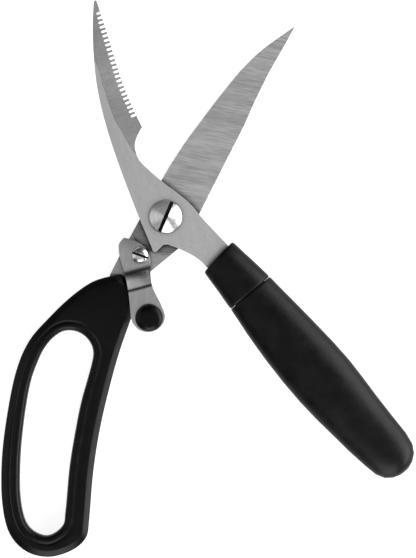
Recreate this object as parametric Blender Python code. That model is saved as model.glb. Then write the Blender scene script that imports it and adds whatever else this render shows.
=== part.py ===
"""Poultry shears: a serrated blade on a straight grip, a plain blade on a loop handle, and a heel latch.

The shears lie open in the XY plane, seen from +Z, with the blade tips towards +Y. The origin is on the
pivot axis, at the rear face of the pivot nut. Sizes are in millimetres until a mesh is made.
"""

import math

import bmesh
import bpy
from mathutils import Vector

# Driving dimensions, in millimetres
MM = 0.001
GAP = 0.3                     # between pieces that touch
BLADE_THICKNESS = 3.05
BLADE_PLANE = 5.8             # where the two blades slide on each other
EDGE_THICKNESS = 0.4          # left at a ground cutting edge
PIVOT_HOLE_RADIUS = 4.3
COUNTERBORE_RADIUS = 6.7
COUNTERBORE_DEPTH = 0.9
SCREW_HEAD_RADIUS = 7.3
SLOT_ANGLE = 67.0             # of the pivot screw's driver slot
NUT_HEIGHT = 2.3
SPRING_POCKET_RADIUS = 7.6
SPRING_POCKET_DEPTH = 1.8
COIL_RADIUS = 6.1
WIRE_RADIUS = 0.45
COIL_START = 330.0            # degrees, where the coil leaves its leg in the plain blade
COIL_SWEEP = 650.0            # degrees, clockwise, to the leg in the serrated blade
SPRING_LEG = 8.6
SPRING_SLOT_LENGTH = 10.2
SPRING_SLOT_WIDTH = 1.7
STOP_RADIUS = 11.5            # of the stop pin about the pivot
STOP_ANGLE = 96.0
STOP_PIN_RADIUS = 1.0
BLADE_TRAVEL = 52.0           # degrees, from open to closed
SHANK_RADIUS = 2.5            # of the pivot screw
NUT_BORE_RADIUS = 2.8
NUT_RADIUS = 7.0              # across its corners
BUSH_RADIUS = 4.0
BUSH_BORE_RADIUS = 2.8
SPRING_WASHER_RADII = (3.0, 6.3)
RELIEF_RADIUS = 16.2          # the tang is thinner outside this circle
RELIEF_DEPTH = 0.6
TOOTH_COUNT = 24
TOOTH_PITCH = 2.035
TOOTH_SLOT = 1.05
TOOTH_DEPTH = 2.4
FIRST_TOOTH = 6.1             # from the corner at the bone notch
LATCH_AXIS = (-11.1, -16.7)
LATCH_HOLE_RADIUS = 2.0
LATCH_SHANK_RADIUS = 1.7
LATCH_WASHER_RADIUS = 3.5
LATCH_NUT_RADIUS = 3.9
LATCH_SLOT_ANGLE = -19.0      # of the latch screw's driver slot
LATCH_SHEET = 1.5
LATCH_LIFT = 8.05             # from the upper plate to the lower one
LATCH_TILT = 14.9             # degrees, of the bend lines
LATCH_BENDS = (6.37, 13.75)   # from the latch axis to each bend line
KNOB_CENTRE = (-7.1, -43.8)
KNOB_RADIUS = 6.0
KNOB_HEIGHT = 6.0
RIVET_RADIUS = 1.3
RIVET_HOLE_RADIUS = 1.6
HANDLE_THICKNESS = 11.0
HANDLE_ROUNDING = 3.2
OPENING_ROUNDING = 2.4
GRIP_ANGLE = -50.0            # degrees, of the straight grip's long axis
GRIP_CENTRE_Z = 7.5
COLLAR_SKEW = 0.125           # slope of the collar's end face, which leans back across the blade
COLLAR_END = 48.4
GRIP_START = 48.9
SPIGOT_END = 60.0             # of the collar's neck, inside the grip
SPIGOT_SECTION = (6.7, 8.2, 4.6)
TANG_PIN_PLACE = (55.0, 6.7)  # along and across the grip
TANG_PIN_RADIUS = 1.25
TANG_PIN_HOLE_RADIUS = 1.55
SECTION_EXPONENT = 0.88       # under 1 makes an oval section fuller than an ellipse

# Levels along Z
PLAIN_TOP = BLADE_PLANE - GAP / 2
PLAIN_BOTTOM = PLAIN_TOP - BLADE_THICKNESS
SERRATED_BOTTOM = BLADE_PLANE + GAP / 2
SERRATED_TOP = SERRATED_BOTTOM + BLADE_THICKNESS
TANG_TOP = PLAIN_TOP - RELIEF_DEPTH
LATCH_BOTTOM = SERRATED_BOTTOM
LATCH_TOP = LATCH_BOTTOM + LATCH_SHEET
LATCH_UPPER_BOTTOM = LATCH_BOTTOM + LATCH_LIFT
LATCH_UPPER_TOP = LATCH_TOP + LATCH_LIFT


def point_at(radius, degrees, centre=(0.0, 0.0)):
    turn = math.radians(degrees)
    return (centre[0] + radius * math.cos(turn), centre[1] + radius * math.sin(turn))


def arc(centre, radius, start, end, steps):
    return [point_at(radius, start + (end - start) * i / steps, centre) for i in range(steps + 1)]


def smooth(points, steps, closed=False):
    """A Catmull-Rom curve through the points, with this many steps from one to the next."""
    count = len(points)
    spans = count if closed else count - 1
    curve = []
    for i in range(spans):
        if closed:
            a, b, c, d = (Vector(points[(i + k) % count]) for k in (-1, 0, 1, 2))
        else:
            b, c = Vector(points[i]), Vector(points[i + 1])
            a = Vector(points[i - 1]) if i > 0 else 2 * b - c
            d = Vector(points[i + 2]) if i + 2 < count else 2 * c - b
        for k in range(steps):
            t = k / steps
            curve.append(tuple(0.5 * (2 * b + (c - a) * t + (2 * a - 5 * b + 4 * c - d) * t ** 2
                                      + (3 * b - a - 3 * c + d) * t ** 3)))
    if not closed:
        curve.append(tuple(points[-1]))
    return curve


def inset(outline, distance):
    """The closed outline moved inwards, or outwards where the distance is negative."""
    count = len(outline)
    area = sum(a[0] * b[1] - b[0] * a[1] for a, b in zip(outline, outline[1:] + outline[:1]))
    side = 1.0 if area > 0 else -1.0
    moved = []
    for i in range(count):
        before, here, after = (Vector(outline[(i + k) % count]) for k in (-1, 0, 1))
        tangent = ((here - before).normalized() + (after - here).normalized()).normalized()
        moved.append((here.x - side * tangent.y * distance, here.y + side * tangent.x * distance))
    return moved


def grip_point(along, across):
    """From the pivot along the straight grip's axis, and across it towards its upper right side."""
    u = point_at(1.0, GRIP_ANGLE)
    n = point_at(1.0, GRIP_ANGLE + 90.0)
    return (u[0] * along + n[0] * across, u[1] * along + n[1] * across)


def material(name, colour, roughness, metallic=0.0):
    made = bpy.data.materials.new(name)
    made.use_nodes = True
    shader = made.node_tree.nodes["Principled BSDF"]
    shader.inputs["Base Color"].default_value = (*colour, 1.0)
    shader.inputs["Roughness"].default_value = roughness
    shader.inputs["Metallic"].default_value = metallic
    made.diffuse_color = (*colour, 1.0)
    return made


def add_object(name, mesh_builder, finish=None, parent=None, sharp=35.0):
    """An object from a bmesh in millimetres. Its mesh is moved so that its origin is the parent's."""
    at = Vector(parent.location) if parent else Vector((0.0, 0.0, 0.0))
    bmesh.ops.recalc_face_normals(mesh_builder, faces=mesh_builder.faces)
    bmesh.ops.scale(mesh_builder, vec=(MM, MM, MM), verts=mesh_builder.verts)
    bmesh.ops.translate(mesh_builder, vec=-at, verts=mesh_builder.verts)
    mesh = bpy.data.meshes.new(name)
    mesh_builder.to_mesh(mesh)
    mesh_builder.free()
    mesh.shade_smooth()
    mesh.set_sharp_from_angle(angle=math.radians(sharp))
    made = bpy.data.objects.new(name, mesh)
    bpy.context.scene.collection.objects.link(made)
    made.parent = parent
    if finish:
        mesh.materials.append(finish)
    return made


def rings_mesh(rings):
    """A closed mesh through rings of equal length, capped at both ends."""
    mesh = bmesh.new()
    loops = [[mesh.verts.new(p) for p in ring] for ring in rings]
    count = len(loops[0])
    for low, high in zip(loops, loops[1:]):
        for i in range(count):
            j = (i + 1) % count
            mesh.faces.new((low[i], low[j], high[j], high[i]))
    mesh.faces.new(loops[0])
    mesh.faces.new(loops[-1])
    return mesh


def prism_mesh(outline, low, high):
    return rings_mesh([[(x, y, z) for x, y in outline] for z in (low, high)])


def turned_mesh(profile, centre, sides):
    """Spins a profile of (radius, z) about a vertical axis. Profiles that miss the axis are closed loops."""
    mesh = bmesh.new()
    points = [mesh.verts.new((centre[0] + r, centre[1], z)) for r, z in profile]
    edges = [mesh.edges.new(pair) for pair in zip(points, points[1:])]
    if profile[0][0] > 0:
        edges.append(mesh.edges.new((points[-1], points[0])))
    bmesh.ops.spin(mesh, geom=points + edges, cent=(*centre, 0.0), axis=(0.0, 0.0, 1.0),
                   angle=2 * math.pi, steps=sides, use_duplicate=False)
    bmesh.ops.remove_doubles(mesh, verts=mesh.verts, dist=0.0001)
    return mesh


def tube_mesh(outer, inner, low, high, centre, sides):
    return turned_mesh([(inner, low), (outer, low), (outer, high), (inner, high)], centre, sides)


def disc_mesh(radius, low, high, centre, sides):
    return turned_mesh([(0.0, low), (radius, low), (radius, high), (0.0, high)], centre, sides)


def cut(target, name, cutter_mesh, parent=None):
    cutter = add_object(name, cutter_mesh, parent=parent)
    cutter.hide_render = True
    cutter.display_type = "WIRE"
    modifier = target.modifiers.new(name, "BOOLEAN")
    modifier.operation = "DIFFERENCE"
    modifier.solver = "EXACT"
    modifier.object = cutter
    return cutter


def grind_mesh(shoulder, edge, shoulder_z, edge_z, beyond_z):
    """A cutter whose working face runs from the grind's shoulder line to the cutting edge and past both."""
    inner, outer, inner_back, outer_back = [], [], [], []
    for a, b in zip(shoulder, edge):
        a, b = Vector((*a, shoulder_z)), Vector((*b, edge_z))
        start, end = a + (a - b) * 0.08, b + (b - a) * 0.25
        inner.append(start)
        outer.append(end)
        inner_back.append(Vector((start.x, start.y, beyond_z)))
        outer_back.append(Vector((end.x, end.y, beyond_z)))
    return rings_mesh([list(ring) for ring in zip(inner, outer, outer_back, inner_back)])


def slot_mesh(length, width, low, high, degrees, centre, offset=0.0, start=0.0):
    """A box along a direction, from start to length, set aside from the centre by offset."""
    u, n = Vector(point_at(1.0, degrees)), Vector(point_at(1.0, degrees + 90.0))
    base = Vector(centre) + n * offset
    corners = [base + u * a + n * b for a, b in
               ((start, -width / 2), (length, -width / 2), (length, width / 2), (start, width / 2))]
    return prism_mesh([tuple(corner) for corner in corners], low, high)


# ---- serrated blade ----

SERRATED_EDGE = [(-10.3, 38.9), (-12.8, 43.9), (-18.3, 56.8), (-21.8, 67.6), (-25.3, 79.1), (-27.8, 86.6),
                 (-30.0, 93.5)]


def along_curve(curve, distance):
    """The point and unit direction at a distance along a polyline."""
    for a, b in zip(curve, curve[1:]):
        a, b = Vector(a), Vector(b)
        length = (b - a).length
        if distance <= length:
            return a + (b - a) * (distance / length), (b - a).normalized()
        distance -= length
    raise ValueError("past the end of the curve")


def toothed_edge():
    """The cutting edge from the bone notch to the tip, with its slots, whose depth eases off at the tip."""
    edge = smooth(SERRATED_EDGE, 8)
    outline = [edge[0]]
    half = TOOTH_SLOT / 2
    for i in range(TOOTH_COUNT):
        depth = TOOTH_DEPTH * min(1.0, 0.74 + 0.1 * (TOOTH_COUNT - 1 - i))
        at, tangent = along_curve(edge, FIRST_TOOTH + i * TOOTH_PITCH)
        inward = Vector((-tangent.y, tangent.x))
        centre = at + inward * (depth - half)
        outline.append(tuple(at - tangent * half))
        for turn in (0.0, 60.0, 120.0, 180.0):
            swing = math.radians(turn)
            outline.append(tuple(centre - tangent * half * math.cos(swing) + inward * half * math.sin(swing)))
        outline.append(tuple(at + tangent * half))
    outline.append(edge[-1])
    return outline


def serrated_outline():
    tip = [(-30.3, 93.85), (-30.75, 93.9), (-31.1, 93.55)]
    spine = smooth([(-31.25, 93.0), (-31.5, 89.5), (-31.7, 80.0), (-31.0, 66.3), (-29.2, 53.0), (-25.4, 37.8),
                    (-19.6, 20.4), (-12.1, 1.0), (-6.0, -13.6)], 4)
    hook = arc((-4.7, -14.05), 1.2, 205.0, 315.0, 5)
    neck = [(-1.0, -12.1)] + smooth([(0.9, -12.0), (5.5, -13.8), (11.3, -16.6), (15.2, -19.2), (17.7, -21.9)], 3)
    tang = [grip_point(a, c) for a, c in ((34.0, 1.0), (48.0, 2.4), (112.0, 3.6))]
    tang += arc(grip_point(112.0, 6.6), 3.0, GRIP_ANGLE - 60.0, GRIP_ANGLE + 60.0, 4)
    tang += [grip_point(a, c) for a, c in ((112.0, 9.6), (48.0, 10.8), (34.0, 11.8))]
    shoulder = smooth([(26.3, -11.6), (20.5, -5.6), (14.5, 0.9), (10.3, 5.9), (4.5, 10.7), (-2.0, 15.6),
                       (-7.6, 20.5), (-11.6, 24.8), (-13.4, 29.8), (-12.9, 33.8), (-11.0, 37.8)], 3)
    return spine + hook + neck + tang + shoulder + toothed_edge() + tip


def build_serrated_blade(arm, steel):
    body = prism_mesh(serrated_outline(), SERRATED_BOTTOM, SERRATED_TOP)
    blade = add_object("serrated_blade", body, steel, arm)
    shoulder = smooth([(-4.0, 19.5), (-13.7, 27.8), (-19.6, 37.6), (-22.4, 42.4), (-25.6, 51.5), (-28.2, 60.0),
                       (-31.0, 67.8), (-36.0, 80.0), (-37.0, 97.0)], 3)
    edge = smooth([(5.0, 22.0), (-4.0, 27.0), (-10.3, 38.9), (-12.8, 43.9), (-18.3, 56.8), (-21.8, 67.6),
                   (-25.3, 79.1), (-27.8, 86.6), (-30.0, 97.0)], 3)
    edge_z = SERRATED_BOTTOM + EDGE_THICKNESS
    cut(blade, "serrated_blade_grind", grind_mesh(shoulder, edge, SERRATED_TOP, edge_z, SERRATED_TOP + 2.0), arm)
    below, above = SERRATED_BOTTOM - 1.0, SERRATED_TOP + 1.0
    pocket_top = SERRATED_BOTTOM + SPRING_POCKET_DEPTH
    counterbore_floor = SERRATED_TOP - COUNTERBORE_DEPTH
    bore = [(0.0, below), (SPRING_POCKET_RADIUS, below), (SPRING_POCKET_RADIUS, pocket_top),
            (PIVOT_HOLE_RADIUS, pocket_top), (PIVOT_HOLE_RADIUS, counterbore_floor),
            (COUNTERBORE_RADIUS, counterbore_floor), (COUNTERBORE_RADIUS, above), (0.0, above)]
    cut(blade, "serrated_blade_bore", turned_mesh(bore, (0.0, 0.0), 32), arm)
    cut(blade, "serrated_blade_spring_slot",
        slot_mesh(SPRING_SLOT_LENGTH, SPRING_SLOT_WIDTH, SERRATED_BOTTOM - 1.3, pocket_top - 0.1,
                  COIL_START - COIL_SWEEP - 90.0, (0.0, 0.0), COIL_RADIUS, 0.5), arm)
    half = STOP_PIN_RADIUS + GAP
    swept = [STOP_ANGLE, STOP_ANGLE + BLADE_TRAVEL]
    groove = arc((0.0, 0.0), STOP_RADIUS + half, swept[0], swept[1], 10)
    groove += arc(point_at(STOP_RADIUS, swept[1]), half, swept[1], swept[1] + 180.0, 6)[1:-1]
    groove += arc((0.0, 0.0), STOP_RADIUS - half, swept[1], swept[0], 10)
    groove += arc(point_at(STOP_RADIUS, swept[0]), half, swept[0] + 180.0, swept[0] + 360.0, 6)[1:-1]
    cut(blade, "serrated_blade_stop_groove", prism_mesh(groove, SERRATED_BOTTOM - 1.6, pocket_top - 0.05), arm)
    pin_hole = disc_mesh(TANG_PIN_HOLE_RADIUS, below, above, grip_point(*TANG_PIN_PLACE), 16)
    cut(blade, "serrated_blade_pin_hole", pin_hole, arm)


# ---- plain blade ----


def plain_outline():
    edge = smooth([(56.5, 83.1), (42.4, 73.0), (32.8, 63.8), (23.8, 52.9), (17.5, 44.6), (9.0, 33.2),
                   (1.5, 21.9)], 4)
    left = [(-11.4, -1.1), (-14.6, -7.0), (-20.2, -17.1), (-24.2, -25.0), (-27.2, -38.0), (-28.6, -56.0)]
    end = arc((-26.0, -57.4), 2.6, 180.0, 350.0, 5)
    right = [(-20.6, -47.0), (-14.5, -35.0), (-11.0, -28.9), (-6.2, -23.4), (5.5, -13.8), (9.5, -8.8)]
    spine = smooth([(14.5, 1.1), (22.5, 16.9), (33.2, 37.8), (39.2, 51.0), (44.9, 62.5), (51.9, 74.8),
                    (56.5, 83.1)], 4)
    return edge + left + end + right + spine[:-1]


def build_plain_blade(steel):
    blade = add_object("plain_blade", prism_mesh(plain_outline(), PLAIN_BOTTOM, PLAIN_TOP), steel)
    edge = smooth([(62.0, 87.9), (48.6, 78.3), (37.2, 68.5), (28.0, 58.4), (13.0, 39.0), (4.6, 27.0),
                   (-3.0, 14.2)], 3)
    shoulder = smooth([(72.0, 80.0), (55.0, 70.6), (44.6, 61.8), (36.0, 52.5), (21.5, 33.6), (13.0, 21.4),
                       (5.0, 9.6)], 3)
    edge_z = PLAIN_TOP - EDGE_THICKNESS
    cut(blade, "plain_blade_grind", grind_mesh(shoulder, edge, PLAIN_BOTTOM, edge_z, PLAIN_BOTTOM - 2.0))
    below, above = PLAIN_BOTTOM - 1.0, PLAIN_TOP + 1.0
    pocket_bottom = PLAIN_TOP - SPRING_POCKET_DEPTH
    bore = [(0.0, below), (PIVOT_HOLE_RADIUS, below), (PIVOT_HOLE_RADIUS, pocket_bottom),
            (SPRING_POCKET_RADIUS, pocket_bottom), (SPRING_POCKET_RADIUS, above), (0.0, above)]
    cut(blade, "plain_blade_bore", turned_mesh(bore, (0.0, 0.0), 32))
    cut(blade, "plain_blade_spring_slot",
        slot_mesh(SPRING_SLOT_LENGTH, SPRING_SLOT_WIDTH, pocket_bottom + 0.1, PLAIN_TOP + 1.3,
                  COIL_START + 90.0, (0.0, 0.0), -COIL_RADIUS, 0.5))
    stop_hole = disc_mesh(STOP_PIN_RADIUS + GAP, below, above, point_at(STOP_RADIUS, STOP_ANGLE), 16)
    cut(blade, "plain_blade_stop_hole", stop_hole)
    cut(blade, "plain_blade_latch_hole", disc_mesh(LATCH_HOLE_RADIUS, below, above, LATCH_AXIS, 20))
    outside = arc((0.0, 0.0), RELIEF_RADIUS, 196.0, 292.0, 16)
    outside += [(20.0, -62.0), (-45.0, -62.0), (-45.0, -5.0)]
    cut(blade, "plain_blade_relief", prism_mesh(outside, TANG_TOP, above))


# ---- pivot ----


def build_pivot(steel, dark_steel, spring_steel):
    low, high = SERRATED_TOP + 0.2, SERRATED_TOP + 2.6
    head = [(SCREW_HEAD_RADIUS - 0.4, low), (SCREW_HEAD_RADIUS, low + 0.4), (SCREW_HEAD_RADIUS, high - 1.2),
            (SCREW_HEAD_RADIUS - 0.7, high - 0.6), (4.0, high - 0.1), (0.0, high)]
    shank = [(0.0, 1.1), (SHANK_RADIUS, 1.1), (SHANK_RADIUS, low)]
    screw = add_object("pivot_screw", turned_mesh(shank + head, (0.0, 0.0), 40), steel)
    cut(screw, "pivot_screw_slot", slot_mesh(8.0, 1.3, high - 1.2, high + 1.0, SLOT_ANGLE, (0.0, 0.0), 0.0, -8.0))
    bush = tube_mesh(BUSH_RADIUS, BUSH_BORE_RADIUS, PLAIN_BOTTOM - 0.05, SERRATED_TOP - 0.95, (0.0, 0.0), 32)
    add_object("pivot_bush", bush, dark_steel)
    washer_low = SERRATED_TOP - 0.65
    inner, outer = SPRING_WASHER_RADII
    washer = [(inner, washer_low), (outer, washer_low - 0.1), (outer, washer_low + 0.45), (inner, washer_low + 0.6)]
    add_object("pivot_spring_washer", turned_mesh(washer, (0.0, 0.0), 32), spring_steel)
    nut = add_object("pivot_nut", prism_mesh(arc((0.0, 0.0), NUT_RADIUS, 0.0, 300.0, 5), 0.0, NUT_HEIGHT), steel)
    cut(nut, "pivot_nut_hole", disc_mesh(NUT_BORE_RADIUS, 0.8, NUT_HEIGHT + 1.0, (0.0, 0.0), 24))
    stop = point_at(STOP_RADIUS, STOP_ANGLE)
    add_object("stop_pin", disc_mesh(STOP_PIN_RADIUS, PLAIN_BOTTOM, SERRATED_BOTTOM + SPRING_POCKET_DEPTH - GAP,
                                     stop, 16), dark_steel)


def spring_path():
    """The leg in the plain blade's slot, the coil, and the leg in the serrated blade's slot."""
    low = PLAIN_TOP - SPRING_POCKET_DEPTH + 0.25 + WIRE_RADIUS
    high = SERRATED_BOTTOM + SPRING_POCKET_DEPTH - 0.25 - WIRE_RADIUS
    steps = 60
    coil = []
    for i in range(steps + 1):
        turn = COIL_START - COIL_SWEEP * i / steps
        coil.append((*point_at(COIL_RADIUS, turn), low + (high - low) * i / steps))
    first_leg = point_at(SPRING_LEG, COIL_START + 90.0, coil[0][:2])
    last_leg = point_at(SPRING_LEG, COIL_START - COIL_SWEEP - 90.0, coil[-1][:2])
    return [(*first_leg, low), *coil, (*last_leg, high)]


def build_opening_spring(finish):
    spline_data = bpy.data.curves.new("opening_spring", "CURVE")
    spline_data.dimensions = "3D"
    spline = spline_data.splines.new("POLY")
    path = spring_path()
    spline.points.add(len(path) - 1)
    for point, place in zip(spline.points, path):
        point.co = (place[0] * MM, place[1] * MM, place[2] * MM, 1.0)
    spline_data.bevel_depth = WIRE_RADIUS * MM
    spline_data.bevel_resolution = 2
    spline_data.use_fill_caps = True
    spring = bpy.data.objects.new("opening_spring", spline_data)
    bpy.context.scene.collection.objects.link(spring)
    spline_data.materials.append(finish)


# ---- latch ----


def latch_outline():
    lobe = [(-17.7, -9.2), (-18.6, -9.4), (-20.4, -11.9)]
    rest = smooth([(-20.5, -13.0), (-20.2, -16.9), (-17.8, -25.1), (-16.2, -32.2), (-15.4, -39.3),
                   (-14.9, -44.4), (-13.3, -47.4), (-10.8, -49.4), (-7.4, -50.0), (-3.9, -49.0),
                   (-1.2, -46.4), (-0.3, -42.8), (-1.8, -38.4), (-4.0, -34.0), (-5.8, -30.0),
                   (-6.5, -26.4), (-6.7, -22.6), (-6.8, -18.6), (-7.6, -15.6), (-9.9, -12.5),
                   (-13.6, -10.2), (-17.7, -9.2)], 3)
    return lobe + rest[:-1]


def latch_level(distance, first, low):
    """Height of one side of the sheet at a distance from the latch axis, square to the bends."""
    along = min(max((distance - first) / (LATCH_BENDS[1] - LATCH_BENDS[0]), 0.0), 1.0)
    return low + LATCH_LIFT * along


def build_latch(pivot, steel, plastic, dark_steel):
    slope = math.atan2(LATCH_LIFT, LATCH_BENDS[1] - LATCH_BENDS[0])
    mitre = LATCH_SHEET * math.tan(slope / 2)
    down = Vector((math.sin(math.radians(LATCH_TILT)), -math.cos(math.radians(LATCH_TILT))))
    sheet = bmesh.new()
    sheet.faces.new([sheet.verts.new((x, y, 0.0)) for x, y in latch_outline()])
    for bend in LATCH_BENDS:
        for distance in (bend, bend + mitre):
            place = Vector(LATCH_AXIS) + down * distance
            bmesh.ops.bisect_plane(sheet, geom=sheet.verts[:] + sheet.edges[:] + sheet.faces[:],
                                   plane_co=(*place, 0.0), plane_no=(*down, 0.0), dist=0.00001)
    lower = sheet.verts[:]
    grown = bmesh.ops.extrude_face_region(sheet, geom=sheet.faces[:], use_keep_orig=True)
    upper = [v for v in grown["geom"] if isinstance(v, bmesh.types.BMVert)]
    for vert in lower:
        distance = (vert.co.xy - Vector(LATCH_AXIS)).dot(down)
        vert.co.z = latch_level(distance, LATCH_BENDS[0] + mitre, LATCH_BOTTOM)
    for vert in upper:
        distance = (vert.co.xy - Vector(LATCH_AXIS)).dot(down)
        vert.co.z = latch_level(distance, LATCH_BENDS[0], LATCH_TOP)
    lever = add_object("latch_lever", sheet, steel, pivot)
    hole = disc_mesh(LATCH_HOLE_RADIUS, LATCH_BOTTOM - 1.0, LATCH_TOP + 1.0, LATCH_AXIS, 20)
    cut(lever, "latch_lever_hole", hole, pivot)
    low, high = LATCH_UPPER_BOTTOM, LATCH_UPPER_TOP
    sink = [(0.0, low - 0.5), (3.1, low - 0.5), (2.7, low), (RIVET_HOLE_RADIUS, low + 1.0),
            (RIVET_HOLE_RADIUS, high + 0.5), (0.0, high + 0.5)]
    cut(lever, "latch_lever_countersink", turned_mesh(sink, KNOB_CENTRE, 20), pivot)

    rivet = [(0.0, low + 0.1), (2.3, low + 0.1), (RIVET_RADIUS, low + 1.0), (RIVET_RADIUS, high + 3.0),
             (0.0, high + 3.0)]
    add_object("latch_knob_rivet", turned_mesh(rivet, KNOB_CENTRE, 20), dark_steel, pivot)
    base, top = high + 0.2, high + 0.2 + KNOB_HEIGHT
    knob = [(0.0, base), (KNOB_RADIUS - 0.5, base), (KNOB_RADIUS, base + 0.5), (KNOB_RADIUS, top - 1.6),
            (KNOB_RADIUS - 0.5, top - 0.6), (KNOB_RADIUS - 1.6, top), (0.0, top)]
    cap = add_object("latch_knob", turned_mesh(knob, KNOB_CENTRE, 32), plastic, pivot)
    cut(cap, "latch_knob_hole", disc_mesh(RIVET_HOLE_RADIUS, base - 1.0, high + 3.3, KNOB_CENTRE, 20), pivot)


def build_latch_fasteners(steel, dark_steel):
    low = LATCH_TOP + 0.2
    head = [(3.4, low), (3.7, low + 0.3), (3.7, low + 0.9), (3.2, low + 1.7), (2.2, low + 2.3), (0.0, low + 2.6)]
    shank = [(0.0, 0.7), (LATCH_SHANK_RADIUS, 0.7), (LATCH_SHANK_RADIUS, low)]
    screw = add_object("latch_screw", turned_mesh(shank + head, LATCH_AXIS, 28), steel)
    cut(screw, "latch_screw_slot", slot_mesh(4.5, 1.0, low + 1.2, low + 4.0, LATCH_SLOT_ANGLE, LATCH_AXIS, 0.0, -4.5))
    washer = tube_mesh(LATCH_WASHER_RADIUS, LATCH_HOLE_RADIUS, TANG_TOP + 0.2, LATCH_BOTTOM - 0.2, LATCH_AXIS, 24)
    add_object("latch_washer", washer, dark_steel)
    hexagon = arc(LATCH_AXIS, LATCH_NUT_RADIUS, 0.0, 300.0, 5)
    nut = add_object("latch_nut", prism_mesh(hexagon, 0.3, NUT_HEIGHT), steel)
    cut(nut, "latch_nut_hole", disc_mesh(LATCH_HOLE_RADIUS, -1.0, NUT_HEIGHT + 1.0, LATCH_AXIS, 20))


# ---- loop handle ----

HANDLE_OUTLINE = [(-24.4, -25.8), (-32.3, -28.4), (-41.2, -34.7), (-50.2, -43.3), (-59.3, -53.8), (-65.1, -67.5),
                  (-69.1, -87.5), (-71.2, -106.0), (-71.0, -124.0), (-67.8, -137.4), (-60.4, -145.2),
                  (-50.5, -147.5), (-40.6, -144.6), (-34.6, -139.2), (-33.2, -131.0), (-31.4, -110.1),
                  (-27.8, -88.3), (-21.2, -62.2), (-15.2, -44.5), (-12.7, -36.8), (-10.9, -30.0),
                  (-11.2, -24.4), (-15.2, -22.2), (-19.4, -25.0)]
OPENING_OUTLINE = [(-44.6, -49.7), (-48.8, -52.4), (-52.1, -56.2), (-54.9, -61.3), (-58.7, -72.0), (-61.5, -88.3),
                   (-63.1, -105.8), (-62.9, -122.6), (-59.7, -133.8), (-51.9, -138.2), (-45.0, -134.2),
                   (-43.5, -127.0), (-41.7, -107.7), (-38.5, -88.6), (-36.4, -78.9), (-34.2, -71.1),
                   (-32.1, -63.3), (-31.5, -58.8), (-32.6, -54.9), (-35.6, -51.4), (-39.8, -49.5)]


def rounded_rings(outline, low, high, radius, steps, flare):
    """Rings up a plate whose front and back rims are quarter rounds, drawn in, or flared out for a cutter."""
    levels = []
    for i in range(steps + 1):
        turn = math.pi / 2 * i / steps
        levels.append((radius * (1 - math.sin(turn)), low + radius * (1 - math.cos(turn))))
    levels += [(draw, low + high - z) for draw, z in reversed(levels)]
    return [[(x, y, z) for x, y in inset(outline, draw * flare)] for draw, z in levels]


def build_loop_handle(plastic):
    outline = smooth(HANDLE_OUTLINE, 3, closed=True)
    rings = rounded_rings(outline, 0.0, HANDLE_THICKNESS, HANDLE_ROUNDING, 4, 1.0)
    handle = add_object("loop_handle", rings_mesh(rings), plastic)
    opening = smooth(OPENING_OUTLINE, 3, closed=True)
    rings = rounded_rings(opening, -0.02, HANDLE_THICKNESS + 0.02, OPENING_ROUNDING, 3, -1.0)
    bottom = [(x, y, -1.0) for x, y, z in rings[0]]
    top = [(x, y, HANDLE_THICKNESS + 1.0) for x, y, z in rings[-1]]
    cut(handle, "loop_handle_opening", rings_mesh([bottom, *rings, top]))
    tang_slot = prism_mesh(inset(plain_outline(), -GAP), PLAIN_BOTTOM - GAP, TANG_TOP + GAP)
    cut(handle, "loop_handle_tang_slot", tang_slot)
    relief = [(0.0, -1.0), (11.7, -1.0), (11.7, 6.1), (15.6, 12.0), (0.0, 12.0)]
    cut(handle, "loop_handle_latch_relief", turned_mesh(relief, LATCH_AXIS, 40))


# ---- straight grip ----

GRIP_STATIONS = (
    # along, middle across, half width, half thickness
    (27.9, 6.2, 8.6, 4.9), (28.9, 6.3, 9.1, 5.3), (39.0, 6.7, 10.1, 5.7), (48.4, 6.8, 11.0, 6.0),
    (61.8, 6.6, 12.3, 6.6), (76.0, 6.6, 13.4, 7.1), (88.0, 6.8, 14.0, 7.4), (99.0, 7.0, 14.1, 7.5),
    (109.0, 7.1, 13.6, 7.4), (118.0, 7.3, 12.9, 7.1), (128.5, 7.6, 12.2, 6.8), (138.5, 8.2, 11.4, 6.5),
    (144.2, 8.3, 10.4, 6.1), (147.8, 8.2, 8.4, 5.2), (150.0, 8.2, 5.6, 3.7), (151.2, 8.2, 2.4, 1.7))


def grip_ring(along, middle, half_width, half_thickness, skew=0.0, sides=32):
    """One oval section of the grip, a little fuller than an ellipse."""
    ring = []
    for i in range(sides):
        turn = 2 * math.pi * i / sides
        c, s = math.cos(turn), math.sin(turn)
        across = half_width * math.copysign(abs(c) ** SECTION_EXPONENT, c)
        z = GRIP_CENTRE_Z + half_thickness * math.copysign(abs(s) ** SECTION_EXPONENT, s)
        ring.append((*grip_point(along - across * skew, middle + across), z))
    return ring


def station_at(along):
    """Width, thickness and middle of the grip at any place along it."""
    for a, b in zip(GRIP_STATIONS, GRIP_STATIONS[1:]):
        if along <= b[0]:
            t = (along - a[0]) / (b[0] - a[0])
            return (along, *(a[k] + (b[k] - a[k]) * t for k in (1, 2, 3)))
    raise ValueError("past the end of the grip")


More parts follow.
